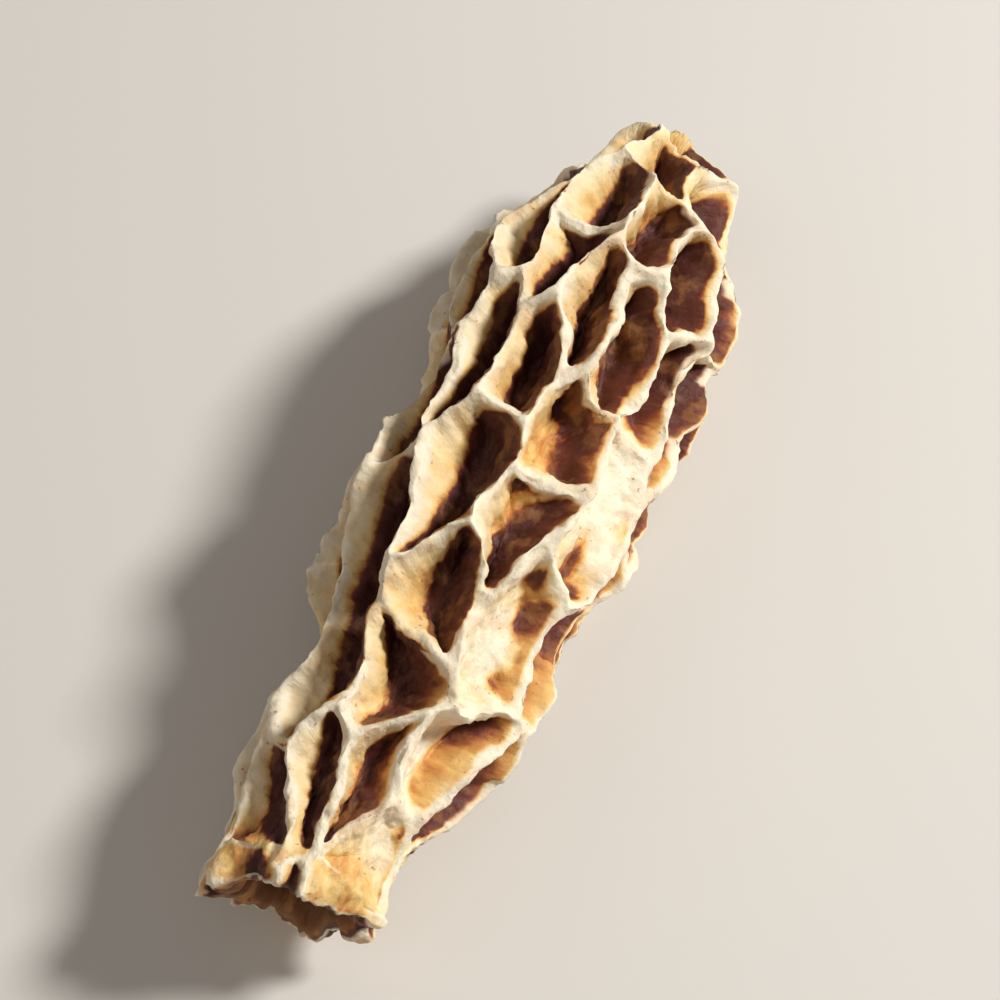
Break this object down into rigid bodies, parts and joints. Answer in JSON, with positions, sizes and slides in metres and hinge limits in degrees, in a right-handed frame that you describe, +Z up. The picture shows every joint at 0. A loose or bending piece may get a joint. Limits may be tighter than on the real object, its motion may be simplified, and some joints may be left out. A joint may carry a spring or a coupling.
{
  "type": "dried morel mushroom",
  "caption": "Dried morel lying on its side: slender honeycombed cap with a net of thin pale ridges round deep dark pits, and a short hollow cut stem.",
  "frame": {"origin": "on the surface that the morel lies on, under the middle of its box", "axes": "+X from the cut stem to the tip of the cap, +Z up"},
  "size_m": [0.0412, 0.0128, 0.0114],
  "materials": {
    "flesh": "dry matte flesh: cream to golden ridges, brown to dark maroon pits"
  },
  "bodies": {
    "root": {"morel": "flesh"}
  },
  "joints": []
}
